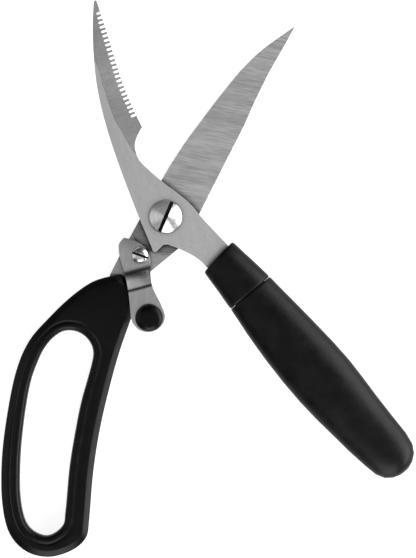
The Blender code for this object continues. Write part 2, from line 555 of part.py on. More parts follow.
def build_grip(arm, plastic, dark_steel):
    collar_stations = [s for s in GRIP_STATIONS if s[0] <= COLLAR_END]
    spigot = [(along, *SPIGOT_SECTION) for along in (COLLAR_END, SPIGOT_END)]
    rings = [grip_ring(*station, skew=COLLAR_SKEW) for station in collar_stations[:2]]
    rings += [grip_ring(*station) for station in collar_stations[2:] + spigot]
    collar = add_object("grip_collar", rings_mesh(rings), plastic, arm)
    tang = inset(serrated_outline(), -GAP)
    tang_low, tang_high = SERRATED_BOTTOM - GAP, SERRATED_TOP + GAP
    cut(collar, "grip_collar_tang_slot", prism_mesh(tang, tang_low, tang_high), arm)
    pin_place = grip_point(*TANG_PIN_PLACE)
    cut(collar, "grip_collar_pin_hole", disc_mesh(TANG_PIN_HOLE_RADIUS, 0.0, 15.0, pin_place, 16), arm)
    add_object("grip_tang_pin", disc_mesh(TANG_PIN_RADIUS, 3.2, 11.8, pin_place, 16), dark_steel, arm)
    rings = [grip_ring(*station_at(GRIP_START))]
    rings += [grip_ring(*station) for station in GRIP_STATIONS if station[0] > GRIP_START]
    grip = add_object("straight_grip", rings_mesh(rings), plastic, arm)
    middle, half_width, half_thickness = SPIGOT_SECTION
    bore = [grip_ring(along, middle, half_width + GAP, half_thickness + GAP)
            for along in (GRIP_START - 1.0, SPIGOT_END + GAP)]
    cut(grip, "straight_grip_bore", rings_mesh(bore), arm)
    cut(grip, "straight_grip_tang_slot", prism_mesh(tang, tang_low, tang_high), arm)


def main():
    for old in list(bpy.data.objects):
        bpy.data.objects.remove(old, do_unlink=True)
    arm = bpy.data.objects.new("straight_arm_pivot", None)
    latch = bpy.data.objects.new("latch_pivot", None)
    latch.location = (LATCH_AXIS[0] * MM, LATCH_AXIS[1] * MM, 0.0)
    for pivot in (arm, latch):
        bpy.context.scene.collection.objects.link(pivot)

    build_serrated_blade(arm, material("serrated_blade_steel", (0.42, 0.42, 0.42), 0.35, 1.0))
    build_plain_blade(material("plain_blade_steel", (0.40, 0.40, 0.40), 0.35, 1.0))
    turned_steel = material("turned_steel", (0.62, 0.62, 0.62), 0.18, 1.0)
    dark_steel = material("dark_steel", (0.20, 0.20, 0.21), 0.4, 1.0)
    build_pivot(turned_steel, dark_steel, material("spring_steel", (0.30, 0.30, 0.32), 0.3, 1.0))
    build_opening_spring(material("spring_wire", (0.30, 0.30, 0.32), 0.3, 1.0))
    build_latch(latch, material("latch_steel", (0.45, 0.45, 0.45), 0.3, 1.0),
                material("knob_plastic", (0.012, 0.012, 0.012), 0.45), dark_steel)
    build_latch_fasteners(turned_steel, dark_steel)
    build_loop_handle(material("handle_plastic", (0.01, 0.01, 0.01), 0.5))
    build_grip(arm, material("grip_plastic", (0.012, 0.012, 0.012), 0.42), dark_steel)


main()
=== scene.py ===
# Poultry shears, open and lying flat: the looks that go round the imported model.
import math

import bmesh
import bpy
from mathutils import Matrix, Vector


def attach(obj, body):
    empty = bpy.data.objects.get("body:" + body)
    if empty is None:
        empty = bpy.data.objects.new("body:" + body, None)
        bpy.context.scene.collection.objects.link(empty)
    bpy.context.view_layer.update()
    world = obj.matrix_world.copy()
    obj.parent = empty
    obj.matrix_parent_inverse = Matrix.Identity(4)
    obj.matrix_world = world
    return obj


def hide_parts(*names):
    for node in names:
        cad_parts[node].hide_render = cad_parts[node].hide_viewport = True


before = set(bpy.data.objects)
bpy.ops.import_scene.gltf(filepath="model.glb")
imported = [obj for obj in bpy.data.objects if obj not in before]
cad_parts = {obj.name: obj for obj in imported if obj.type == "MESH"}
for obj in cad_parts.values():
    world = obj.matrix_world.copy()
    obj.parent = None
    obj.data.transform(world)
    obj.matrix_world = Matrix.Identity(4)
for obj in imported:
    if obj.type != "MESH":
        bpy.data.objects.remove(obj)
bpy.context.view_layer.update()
mm = 0.001
joinDistance = 0.002 * mm  # points closer than this are one point
axisUp = (0.0, 0.0, 1.0)


# node and colour helpers

def hexToLinear(hexColour):
    parts = [int(hexColour[i:i + 2], 16) / 255 for i in (1, 3, 5)]
    return (*[p / 12.92 if p <= 0.04045 else ((p + 0.055) / 1.055) ** 2.4 for p in parts], 1.0)


def addNode(tree, kind, inputs=None, **settings):
    # inputs are values, or (node, output) where a link is wanted
    node = tree.nodes.new(kind)
    for name, value in settings.items():
        setattr(node, name, value)
    for name, value in (inputs or {}).items():
        if isinstance(value, tuple) and isinstance(value[0], bpy.types.Node):
            tree.links.new(value[0].outputs[value[1]], node.inputs[name])
        else:
            node.inputs[name].default_value = value
    return node


def newMaterial(name, **shaderValues):
    made = bpy.data.materials.new(name)
    made.use_nodes = True
    shader = made.node_tree.nodes["Principled BSDF"]
    for socket, value in shaderValues.items():
        shader.inputs[socket].default_value = value
    return made, made.node_tree, shader


def placeOnPiece(tree, centre=(0.0, 0.0, 0.0), degrees=0.0, periods=(1.0, 1.0, 1.0)):
    # object coordinates turned so that X lies along the grain, then divided by the pattern's sizes
    where = addNode(tree, "ShaderNodeTexCoord")
    turned = addNode(tree, "ShaderNodeMapping", {
        "Vector": (where, "Object"), "Location": tuple(c * mm for c in centre),
        "Rotation": (0.0, 0.0, math.radians(degrees))}, vector_type="TEXTURE")
    return addNode(tree, "ShaderNodeVectorMath", {
        0: (turned, "Vector"), 1: tuple(1.0 / (p * mm) for p in periods)}, operation="MULTIPLY")


def toneBetween(tree, source, hexLow, hexHigh, low=0.3, high=0.7):
    # from one colour to the other as the texture goes through its usual range
    tone = addNode(tree, "ShaderNodeMapRange", {"Value": source, "From Min": low, "From Max": high})
    return addNode(tree, "ShaderNodeMix", {
        0: (tone, "Result"), 6: hexToLinear(hexLow), 7: hexToLinear(hexHigh)}, data_type="RGBA")


def linkGloss(tree, shader, source, first, last):
    # roughness goes from the first value to the last as the texture goes through its usual range
    gloss = addNode(tree, "ShaderNodeMapRange", {
        "Value": source, "From Min": 0.3, "From Max": 0.7, "To Min": first, "To Max": last})
    tree.links.new(gloss.outputs["Result"], shader.inputs["Roughness"])


def darkenWhere(tree, colour, source, darkest, start, end, blend="LINEAR"):
    # the colour is cut to its darkest share where the source is at start, and is whole where it is at end
    clear = addNode(tree, "ShaderNodeMapRange", {
        "Value": source, "From Min": start, "From Max": end, "To Min": darkest, "To Max": 1.0},
        interpolation_type=blend)
    return addNode(tree, "ShaderNodeMix", {0: 1.0, 6: (colour, 2), 7: (clear, "Result")}, data_type="RGBA",
                   blend_type="MULTIPLY")


def paintCornerShade(tree, colour, reach, darkest):
    # painted shade: ambient occlusion darkens the colour where steel lies close under steel or beside other
    # parts, within the reach in millimetres
    closeness = addNode(tree, "ShaderNodeAmbientOcclusion", {"Distance": reach * mm}, samples=8)
    return darkenWhere(tree, colour, (closeness, "AO"), darkest, 0.5, 0.93)


def paintHeelShade(tree, colour, degrees, start, end, darkest):
    # painted shade: a blade is darkened behind its ground part, where the other blade shades it, from start to
    # end along a direction, in millimetres
    where = placeOnPiece(tree, degrees=degrees)
    along = addNode(tree, "ShaderNodeSeparateXYZ", {"Vector": (where, "Vector")})
    return darkenWhere(tree, colour, (along, "X"), darkest, start, end)


def paintFoldShade(tree, colour, centre, degrees, folds):
    # painted shade: a darker band along each fold: its place, reach on both sides and darkest tone
    where = placeOnPiece(tree, centre=centre, degrees=degrees)
    along = addNode(tree, "ShaderNodeSeparateXYZ", {"Vector": (where, "Vector")})
    for place, reach, darkest in folds:
        off = addNode(tree, "ShaderNodeMath", {0: (along, "X"), 1: place}, operation="SUBTRACT")
        away = addNode(tree, "ShaderNodeMath", {0: (off, "Value")}, operation="ABSOLUTE")
        colour = darkenWhere(tree, colour, (away, "Value"), darkest, 0.2 * reach, reach, "SMOOTHSTEP")
    return colour


# materials

def groundSteel(name, hexLow, hexHigh, degrees, grain, roughness, depth, cornerShade, heelShade=None, folds=None):
    # stainless steel ground on a belt: long fine streaks in one direction, bright and dark by turns.
    # Belt lines are about 0.05 mm wide; the grain, a length and a width, is ten times coarser so that it shows.
    made, tree, shader = newMaterial(name, Metallic=1.0)
    grainLength, grainWidth = grain
    where = placeOnPiece(tree, degrees=degrees, periods=(grainLength, grainWidth, grainWidth))
    streaks = addNode(tree, "ShaderNodeTexNoise", {
        "Vector": (where, "Vector"), "Scale": 1.0, "Detail": 4.0, "Roughness": 0.65})
    broad = addNode(tree, "ShaderNodeTexNoise", {"Vector": (where, "Vector"), "Scale": 0.2, "Detail": 2.0})
    both = addNode(tree, "ShaderNodeMath", {0: (broad, "Fac"), 1: 0.4, 2: (streaks, "Fac")},
                   operation="MULTIPLY_ADD")
    colour = toneBetween(tree, (both, "Value"), hexLow, hexHigh, 0.55, 0.85)
    # painted shade over the blade's heel
    if heelShade:
        colour = paintHeelShade(tree, colour, *heelShade)
    # painted shade along the folds
    if folds:
        colour = paintFoldShade(tree, colour, *folds)
    # painted shade in the corners and under neighbouring parts
    colour = paintCornerShade(tree, colour, *cornerShade)
    tree.links.new(colour.outputs[2], shader.inputs["Base Color"])
    linkGloss(tree, shader, (streaks, "Fac"), roughness + 0.06, roughness - 0.06)
    bump = addNode(tree, "ShaderNodeBump", {
        "Height": (streaks, "Fac"), "Strength": 1.0, "Distance": depth * mm})
    tree.links.new(bump.outputs["Normal"], shader.inputs["Normal"])
    return made


def turnedSteel(name, hexLow, hexHigh, centre, ringWidth, roughness):
    # steel faced on a lathe: bright, with faint uneven rings round the axis.
    # The tool's feed is about 0.1 mm a turn; the rings are drawn 0.4 to 0.6 mm wide so that they show.
    made, tree, shader = newMaterial(name, Metallic=1.0)
    where = placeOnPiece(tree, centre=centre)
    flat = addNode(tree, "ShaderNodeVectorMath", {0: (where, "Vector"), 1: (1.0, 1.0, 0.0)},
                   operation="MULTIPLY")
    radius = addNode(tree, "ShaderNodeVectorMath", {0: (flat, "Vector")}, operation="LENGTH")
    rings = addNode(tree, "ShaderNodeTexNoise", {
        "W": (radius, "Value"), "Scale": 1.0 / ringWidth, "Detail": 3.0}, noise_dimensions="1D")
    colour = toneBetween(tree, (rings, "Fac"), hexLow, hexHigh)
    tree.links.new(colour.outputs[2], shader.inputs["Base Color"])
    linkGloss(tree, shader, (rings, "Fac"), roughness + 0.05, roughness - 0.05)
    return made


def darkenedSteel(name, hexLow, hexHigh, roughness):
    # hardened steel left as it came from heat treatment: dull, faintly mottled in patches of about 2 mm. Made
    # near black, it also serves as the painted shade inside the screw slots
    made, tree, shader = newMaterial(name, Metallic=1.0)
    where = placeOnPiece(tree, periods=(2.0, 2.0, 2.0))
    mottle = addNode(tree, "ShaderNodeTexNoise", {"Vector": (where, "Vector"), "Scale": 1.0, "Detail": 5.0})
    colour = toneBetween(tree, (mottle, "Fac"), hexLow, hexHigh)
    tree.links.new(colour.outputs[2], shader.inputs["Base Color"])
    linkGloss(tree, shader, (mottle, "Fac"), roughness + 0.08, roughness - 0.08)
    return made


def mouldedPlastic(name, hexLow, hexHigh, roughness, grain, depth, specular):
    # black plastic from a spark-eroded mould: an even pebbled satin that breaks the highlights up.
    # The real pebbles are about 0.1 mm across; they are drawn nearly 1 mm across so that they show.
    made, tree, shader = newMaterial(name, IOR=1.49)
    shader.inputs["Specular IOR Level"].default_value = specular
    where = placeOnPiece(tree, periods=(grain, grain, grain))
    pebble = addNode(tree, "ShaderNodeTexNoise", {
        "Vector": (where, "Vector"), "Scale": 1.0, "Detail": 2.0, "Roughness": 0.5})
    cloud = addNode(tree, "ShaderNodeTexNoise", {"Vector": (where, "Vector"), "Scale": 0.16, "Detail": 5.0})
    colour = toneBetween(tree, (cloud, "Fac"), hexLow, hexHigh)
    tree.links.new(colour.outputs[2], shader.inputs["Base Color"])
    linkGloss(tree, shader, (cloud, "Fac"), roughness - 0.05, roughness + 0.05)
    bump = addNode(tree, "ShaderNodeBump", {
        "Height": (pebble, "Fac"), "Strength": 1.0, "Distance": depth * mm})
    tree.links.new(bump.outputs["Normal"], shader.inputs["Normal"])
    return made


pivotCentre = (0.0, 0.0, 0.0)
latchAxis = (-11.1, -16.7, 0.0)
knobCentre = (-7.1, -43.8, 0.0)

# sizes in millimetres: grain is its length and width; the painted shade in corners is given by its reach and
# its darkest share
bladeSteelLengthwise = groundSteel("stainlessSteelGroundLengthwise", "#C6C6C6", "#D4D4D4", degrees=106.0,
                                   grain=(3.0, 0.5), roughness=0.38, depth=0.002, cornerShade=(3.0, 0.15))
bevelSteel = groundSteel("stainlessSteelEdgeGround", "#6A6A6A", "#777777", degrees=12.0,
                         grain=(9.0, 0.5), roughness=0.4, depth=0.002, cornerShade=(1.0, 0.6))
# the crosswise blade gets painted shade over its heel
bladeSteelCrosswise = groundSteel("stainlessSteelGroundCrosswise", "#AEAEAE", "#D6D6D6", degrees=-10.0,
                                  grain=(8.0, 0.55), roughness=0.36, depth=0.003, cornerShade=(3.0, 0.15),
                                  heelShade=(60.0, -8.0, 14.0, 0.5))
tangSteel = groundSteel("stainlessSteelTangAsRolled", "#A8A8A8", "#B8B8B8", degrees=-10.0,
                        grain=(6.0, 0.7), roughness=0.42, depth=0.002, cornerShade=(1.7, 0.15))
# the lever gets painted shade along its two folds
leverSteel = groundSteel("stainlessSteelPressedSatin", "#AEAEAE", "#BEBEBE", degrees=75.0,
                         grain=(5.0, 0.5), roughness=0.32, depth=0.002, cornerShade=(0.8, 0.6),
                         folds=(latchAxis, -75.1, [(7.0, 3.0, 0.38), (13.8, 1.2, 0.45)]))
pivotScrewSteel = turnedSteel("stainlessSteelFaceTurned", "#C8C8C8", "#DEDEDE", pivotCentre,
                              ringWidth=0.6, roughness=0.3)
latchScrewSteel = turnedSteel("stainlessSteelTurnedSlotted", "#C8C8C8", "#DADADA", latchAxis,
                              ringWidth=0.4, roughness=0.26)
nutSteel = turnedSteel("stainlessSteelNutFaced", "#C4C4C4", "#D4D4D4", pivotCentre,
                       ringWidth=0.6, roughness=0.3)
# painted shade: near-black steel stands in for the shadow inside the screw slots
slotShadeSteel = darkenedSteel("stainlessSteelSlotPaintedShade", "#1C1C1C", "#2A2A2A", roughness=0.6)
hiddenSteel = darkenedSteel("carbonSteelOilBlacked", "#4C4C50", "#6A6A6E", roughness=0.42)
springSteel = darkenedSteel("carbonSteelSpringTemper", "#5A5B63", "#82838A", roughness=0.32)
handlePlastic = mouldedPlastic("polypropyleneMouldedMatt", "#020202", "#050505", roughness=0.36,
                               grain=0.9, depth=0.03, specular=0.15)
gripPlastic = mouldedPlastic("polypropyleneMouldedSatin", "#020202", "#090909", roughness=0.38,
                             grain=0.9, depth=0.05, specular=0.17)
knobPlastic = mouldedPlastic("nylonMouldedKnob", "#020202", "#050505", roughness=0.3,
                             grain=0.8, depth=0.02, specular=0.14)
print("materials ready")


# mesh helpers

def finishPiece(name, mesh, body, node, materials, sharpDegrees):
    # bmesh to a smooth-shaded piece that rides on its body and stands for its CAD node
    bmesh.ops.remove_doubles(mesh, verts=mesh.verts, dist=joinDistance)
    bmesh.ops.recalc_face_normals(mesh, faces=mesh.faces)
    data = bpy.data.meshes.new(name)
    mesh.to_mesh(data)
    mesh.free()
    data.shade_smooth()
    data.set_sharp_from_angle(angle=math.radians(sharpDegrees))
    for each in materials:
        data.materials.append(each)
    piece = bpy.data.objects.new(name, data)
    bpy.context.scene.collection.objects.link(piece)
    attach(piece, body)
    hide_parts(node)
    print(name, len(data.polygons), "faces")
    return piece


def copyOfNode(name):
    # the CAD solid with its loose triangles joined and its flat faces whole again
    flatWithin = math.radians(0.6)
    mesh = bmesh.new()
    mesh.from_mesh(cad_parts[name].data)
    bmesh.ops.remove_doubles(mesh, verts=mesh.verts, dist=joinDistance)
    bmesh.ops.dissolve_limit(mesh, angle_limit=flatWithin, verts=mesh.verts, edges=mesh.edges)
    return mesh


def smoothRing(mesh, points, height, steps):
    # a closed Bezier line through the points, brought into the mesh as one flat face
    curve = bpy.data.curves.new("guideLine", "CURVE")
    curve.dimensions = "3D"
    spline = curve.splines.new("BEZIER")
    spline.bezier_points.add(len(points) - 1)
    spline.use_cyclic_u = True
    spline.resolution_u = steps
    count = len(points)
    for i, knot in enumerate(spline.bezier_points):
        before, here, after = (Vector((*points[(i + k) % count], height)) * mm for k in (-1, 0, 1))
        reach = (after - before) / 6
        knot.handle_left_type = knot.handle_right_type = "FREE"
        knot.co, knot.handle_left, knot.handle_right = here, here - reach, here + reach
    guide = bpy.data.objects.new("guideLine", curve)
    bpy.context.scene.collection.objects.link(guide)
    bpy.context.view_layer.update()
    old = set(mesh.edges)
    line = guide.evaluated_get(bpy.context.evaluated_depsgraph_get()).to_mesh()
    mesh.from_mesh(line)
    bpy.data.objects.remove(guide)
    bpy.data.curves.remove(curve)
    edges = [e for e in mesh.edges if e not in old]
    face = bmesh.ops.contextual_create(mesh, geom=edges)["faces"][0]
    bmesh.ops.recalc_face_normals(mesh, faces=[face])
    if face.normal.z < 0:
        face.normal_flip()
    return face


def stepInwards(mesh, face, steps):
    # rings of faces inside a flat face, or outside it where inwards is negative, and upwards, in millimetres
    for inwards, upwards in steps:
        bmesh.ops.inset_region(mesh, faces=[face], thickness=inwards * mm, depth=upwards * mm,
                               use_boundary=True, use_even_offset=True)


def stepsOf(profile):
    # differences between the points of a profile given as (inwards, height)
    return [(b[0] - a[0], b[1] - a[1]) for a, b in zip(profile, profile[1:])]


def quarterRound(width, height, low, count):
    # profile from a wall, round to level, as (inwards, height)
    turns = [math.pi / 2 * i / count for i in range(count + 1)]
    return [(width * (1 - math.cos(turn)), low + height * math.sin(turn)) for turn in turns]


def turned(profile, centre, sides):
    # profile of (radius, height) in millimetres spun about an upright axis
    mesh = bmesh.new()
    points = [mesh.verts.new((Vector(centre) + Vector((r, 0.0, z))) * mm) for r, z in profile]
    edges = [mesh.edges.new(pair) for pair in zip(points, points[1:])]
    bmesh.ops.spin(mesh, geom=points + edges, cent=Vector(centre) * mm, axis=axisUp, angle=2 * math.pi,
                   steps=sides, use_merge=True)
    bmesh.ops.remove_doubles(mesh, verts=mesh.verts, dist=joinDistance)
    bmesh.ops.recalc_face_normals(mesh, faces=mesh.faces)
    return mesh


def cubeAt(centre, size, degrees):
    # a block turned about its own upright axis, in millimetres
    mesh = bmesh.new()
    place = Matrix.Translation(Vector(centre) * mm) @ Matrix.Rotation(math.radians(degrees), 4, "Z")
    bmesh.ops.create_cube(mesh, size=1.0, matrix=place @ Matrix.Diagonal((*[s * mm for s in size], 1.0)))
    return mesh


def cutWith(mesh, *cutters):
    # the first solid less the others, back as a bmesh
    objects = []
    for solid in (mesh, *cutters):
        data = bpy.data.meshes.new("cutting")
        solid.to_mesh(data)
        solid.free()
        objects.append(bpy.data.objects.new("cutting", data))
        bpy.context.scene.collection.objects.link(objects[-1])
    for cutter in objects[1:]:
        modifier = objects[0].modifiers.new("cut", "BOOLEAN")
        modifier.operation, modifier.solver, modifier.object = "DIFFERENCE", "EXACT", cutter
    bpy.context.view_layer.update()
    result = bmesh.new()
    result.from_mesh(objects[0].evaluated_get(bpy.context.evaluated_depsgraph_get()).to_mesh())
    for each in objects:
        bpy.data.objects.remove(each)
    bmesh.ops.remove_doubles(result, verts=result.verts, dist=joinDistance)
    bmesh.ops.dissolve_degenerate(result, dist=0.001 * mm, edges=result.edges)
    return result


def easeShading(piece, materialIndex, reach):
    # a ground bevel is one sweep, so its facets share the normals of those within reach
    data = piece.data
    ground = [f for f in data.polygons if f.material_index == materialIndex]
    centres = [(f.center.copy(), f.normal * f.area) for f in ground]
    normals = [(0.0, 0.0, 0.0)] * len(data.loops)
    for face in ground:
        for loop in face.loop_indices:
            here = data.vertices[data.loops[loop].vertex_index].co
            total = Vector()
            for centre, weighted in centres:
                total += weighted * math.exp(-((centre - here).length / (reach * mm)) ** 2)
            normals[loop] = total.normalized()[:]
    data.normals_split_custom_set(normals)


def breakTopEdges(mesh, height, width):
    # only the rim of the flat top face loses its corner
    cornerAngle = math.radians(60.0)
    rim = [e for e in mesh.edges if len(e.link_faces) == 2 and e.calc_face_angle(0.0) > cornerAngle
           and all(abs(v.co.z - height * mm) < 0.01 * mm for v in e.verts)]
    bmesh.ops.bevel(mesh, geom=rim, offset=width * mm, offset_type="OFFSET", affect="EDGES", segments=1,
                    profile=0.5, material=-1, clamp_overlap=True, loop_slide=True)


def paintSlotShade(mesh, floor, top):
    # the walls and floor of a driver slot take the second material, near-black steel that is painted shade
    for face in mesh.faces:
        height = face.calc_center_median().z / mm
        isWall = abs(face.normal.z) < 0.02
        isFloor = abs(height - floor) < 0.02
        if floor - 0.05 < height < top and (isWall or isFloor):
            face.material_index = 1


def bevelSharp(mesh, width, degrees, segments=2):
    # every edge sharper than the angle is broken
    least = math.radians(degrees)
    sharp = [e for e in mesh.edges if len(e.link_faces) == 2 and e.calc_face_angle(0.0) > least]
    bmesh.ops.bevel(mesh, geom=sharp, offset=width * mm, offset_type="OFFSET", affect="EDGES",
                    segments=segments, profile=0.5, material=-1, clamp_overlap=True, loop_slide=True)


# serrated blade

serratedBlade = {"edgeBreak": 0.22, "top": 9.0, "facesUp": 0.9, "bevelTilt": 0.995, "sharpDegrees": 9.0,
                 "easeReach": 9.0}
part = serratedBlade
mesh = copyOfNode("serrated_blade")
breakTopEdges(mesh, part["top"], part["edgeBreak"])
for face in mesh.faces:
    face.material_index = 1 if part["facesUp"] < face.normal.z < part["bevelTilt"] else 0
piece = finishPiece("serratedBladeGround", mesh, "straight_arm", "serrated_blade",
                    [bladeSteelLengthwise, bevelSteel], part["sharpDegrees"])
easeShading(piece, 1, part["easeReach"])


# plain blade

plainBlade = {"edgeBreak": 0.15, "top": 5.65, "tangTop": 5.3, "facesUp": 0.9, "sharpDegrees": 9.0}
part = plainBlade
mesh = copyOfNode("plain_blade")
breakTopEdges(mesh, part["top"], part["edgeBreak"])
for face in mesh.faces:
    if face.calc_center_median().z < part["tangTop"] * mm and face.normal.z > part["facesUp"]:
        face.material_index = 1
finishPiece("plainBladeGround", mesh, "loop_arm", "plain_blade",
            [bladeSteelCrosswise, tangSteel], part["sharpDegrees"])
print("blades done")


# loop handle

loopHandle = {
    "outline": [(-24.4, -25.8), (-32.3, -28.4), (-41.2, -34.7), (-50.2, -43.3), (-59.3, -53.8),
                (-65.1, -67.5), (-69.1, -87.5), (-71.18, -106.0), (-70.98, -124.0), (-67.8, -137.4),
                (-60.4, -145.2), (-50.5, -147.5), (-40.6, -144.6), (-34.6, -139.2), (-33.2, -131.0),
                (-31.4, -110.1), (-27.8, -88.3), (-21.2, -62.2), (-15.2, -44.5), (-12.7, -36.8),
                (-10.9, -30.0), (-11.2, -24.4), (-15.2, -22.2), (-19.4, -25.0)],
    "opening": [(-44.6, -49.7), (-48.8, -52.4), (-52.1, -56.2), (-54.9, -61.3), (-58.7, -72.0),
                (-61.5, -88.3), (-63.1, -105.8), (-62.9, -122.6), (-59.7, -133.8), (-51.9, -138.2),
                (-45.0, -134.2), (-43.5, -127.0), (-41.7, -107.7), (-38.5, -88.6), (-36.4, -78.9),
                (-34.2, -71.1), (-32.1, -63.3), (-31.5, -58.8), (-32.6, -54.9), (-35.6, -51.4),
                (-39.8, -49.5)],
    "curveSteps": (5, 6),
    "middle": 5.5,
    "rim": [(0.0, 5.5), (0.02, 8.6), (0.06, 8.9), (0.18, 9.17), (0.38, 9.38), (1.2, 9.91), (2.0, 10.42),
            (2.3, 10.6), (2.55, 10.73), (2.8, 10.8)],
    "bead": [(2.2, 10.95), (2.75, 10.88), (3.25, 10.7), (3.6, 10.55), (3.8, 10.5), (4.0, 10.54),
             (4.25, 10.68), (4.5, 10.78), (4.7, 10.8)],
    "beadWall": 8.0, "beadRound": 2.2, "beadTop": 10.95, "beadSteps": 6,
    # the hollow in which the latch swings, as radius from its axis and height
    "mouth": [(0.0, -1.0), (11.7, -1.0), (11.7, 6.1), (15.6, 12.0), (0.0, 12.0)],
    "mouthSides": 96, "sharpDegrees": 28.0,
}
part = loopHandle
mesh = bmesh.new()
outerFace = smoothRing(mesh, part["outline"], part["middle"], part["curveSteps"][0])
stepInwards(mesh, outerFace, stepsOf(part["rim"]))
openingFace = smoothRing(mesh, part["opening"], part["middle"], part["curveSteps"][1])
profile = quarterRound(part["beadRound"], part["beadTop"] - part["beadWall"], part["beadWall"],
                       part["beadSteps"])
profile = [(0.0, part["middle"]), (0.02, part["beadWall"])] + profile[1:-1] + part["bead"]
stepInwards(mesh, openingFace, [(-a, b) for a, b in stepsOf(profile)])
rims = list(outerFace.edges) + list(openingFace.edges)
bmesh.ops.delete(mesh, geom=[outerFace, openingFace], context="FACES_ONLY")
bmesh.ops.triangle_fill(mesh, use_beauty=True, use_dissolve=False, edges=rims, normal=axisUp)
half = mesh.verts[:] + mesh.edges[:] + mesh.faces[:]  # the back is the front again
mirrorPlane = Matrix.Translation((0.0, 0.0, -part["middle"] * mm))
bmesh.ops.mirror(mesh, geom=half, matrix=mirrorPlane, merge_dist=joinDistance, axis="Z")
bmesh.ops.remove_doubles(mesh, verts=mesh.verts, dist=joinDistance)
bmesh.ops.recalc_face_normals(mesh, faces=mesh.faces)
mesh = cutWith(mesh, turned(part["mouth"], latchAxis, part["mouthSides"]), copyOfNode("plain_blade"))
finishPiece("loopHandleMoulded", mesh, "loop_arm", "loop_handle", [handlePlastic],
            part["sharpDegrees"])
print("loop handle done")


# straight grip and its collar

# each section: along the grip, across it, half its width, half its thickness, and 1 where it leans
gripFrame = {
    "direction": -50.0, "height": 7.5, "skew": 0.125, "sides": 48, "sharpDegrees": 35.0,
    "collar": [(27.9, 6.2, 7.9, 4.3, 1), (28.0, 6.2, 8.5, 4.8, 1), (28.4, 6.25, 8.9, 5.1, 1),
               (29.2, 6.3, 9.12, 5.32, 1), (34.0, 6.5, 9.6, 5.5, 0), (39.0, 6.7, 10.1, 5.7, 0),
               (43.5, 6.75, 10.55, 5.85, 0), (47.4, 6.8, 10.92, 5.98, 0), (48.2, 6.8, 10.93, 5.96, 0),
               (48.45, 6.8, 10.8, 5.85, 0), (48.5, 6.8, 10.7, 5.75, 0), (48.78, 6.8, 10.65, 5.7, 0),
               (48.8, 6.7, 8.2, 4.6, 0), (60.0, 6.7, 8.2, 4.6, 0)],
    "grip": [(60.3, 6.7, 8.5, 4.9, 0), (49.0, 6.7, 8.5, 4.9, 0), (48.9, 6.8, 10.5, 5.6, 0),
             (48.95, 6.8, 10.8, 5.85, 0), (49.2, 6.8, 11.05, 6.03, 0), (49.9, 6.8, 11.15, 6.08, 0),
             (55.0, 6.7, 11.6, 6.3, 0), (61.8, 6.6, 12.3, 6.6, 0), (69.0, 6.6, 12.9, 6.9, 0),
             (76.0, 6.6, 13.4, 7.1, 0), (88.0, 6.8, 14.0, 7.4, 0), (99.0, 7.0, 14.1, 7.5, 0),
             (109.0, 7.1, 13.6, 7.4, 0), (118.0, 7.3, 12.9, 7.1, 0), (128.5, 7.6, 12.2, 6.8, 0),
             (138.5, 8.2, 11.4, 6.5, 0), (144.2, 8.3, 10.4, 6.1, 0), (147.8, 8.2, 8.4, 5.2, 0),
             (150.0, 8.2, 5.6, 3.7, 0), (151.2, 8.2, 2.4, 1.7, 0)],
}


def stationMatrix(along, across, halfWidth, halfThickness, skewed):
    # where a unit circle goes to be one section of the grip
    turn = math.radians(gripFrame["direction"])
    lengthways = Vector((math.cos(turn), math.sin(turn), 0.0))
    sideways = Vector((-math.sin(turn), math.cos(turn), 0.0))
    lean = lengthways * gripFrame["skew"] * skewed
    centre = lengthways * along + sideways * across + Vector(axisUp) * gripFrame["height"]
    columns = ((sideways - lean) * halfWidth, Vector(axisUp) * halfThickness, lengthways, centre)
    matrix = Matrix.Identity(4)
    for i, column in enumerate(columns):
        matrix.col[i] = (*[c * mm for c in column], 1.0 if i == 3 else 0.0)
    return matrix


def loft(stations):
    # a circle carried from section to section, with both ends closed
    mesh = bmesh.new()
    previous = stationMatrix(*stations[0])
    bmesh.ops.create_circle(mesh, cap_ends=False, segments=gripFrame["sides"], radius=1.0, matrix=previous)
    edges = mesh.edges[:]
    bmesh.ops.contextual_create(mesh, geom=edges)
    for station in stations[1:]:
        grown = bmesh.ops.extrude_edge_only(mesh, edges=edges)["geom"]
        edges = [g for g in grown if isinstance(g, bmesh.types.BMEdge)]
        verts = [g for g in grown if isinstance(g, bmesh.types.BMVert)]
        matrix = stationMatrix(*station)
        bmesh.ops.transform(mesh, matrix=matrix @ previous.inverted(), verts=verts)
        previous = matrix
    bmesh.ops.contextual_create(mesh, geom=edges)
    bmesh.ops.recalc_face_normals(mesh, faces=mesh.faces)
    return mesh


for name, sections, node in (("gripCollarMoulded", "collar", "grip_collar"),
                             ("straightGripMoulded", "grip", "straight_grip")):
    mesh = cutWith(loft(gripFrame[sections]), copyOfNode("serrated_blade"))
    finishPiece(name, mesh, "straight_arm", node, [gripPlastic], gripFrame["sharpDegrees"])
print("grip and collar done")


# pivot screw and nut

pivotScrew = {"shank": 2.5, "foot": 1.1, "seat": 9.2, "rim": 7.05, "rimTop": 9.75, "rimChamfer": 0.3,
              "rimEase": (0.12, 0.2), "faceRim": 6.75, "faceEdge": 10.1, "crown": 11.55, "domePower": 1.7,
              "grooves": 17, "pointsPerGroove": 4, "grooveDepth": 0.024,
              "slotAngle": 67.0, "slotWidth": 1.6, "slotFloor": 9.6, "sides": 96, "sharpDegrees": 24.0}
part = pivotScrew


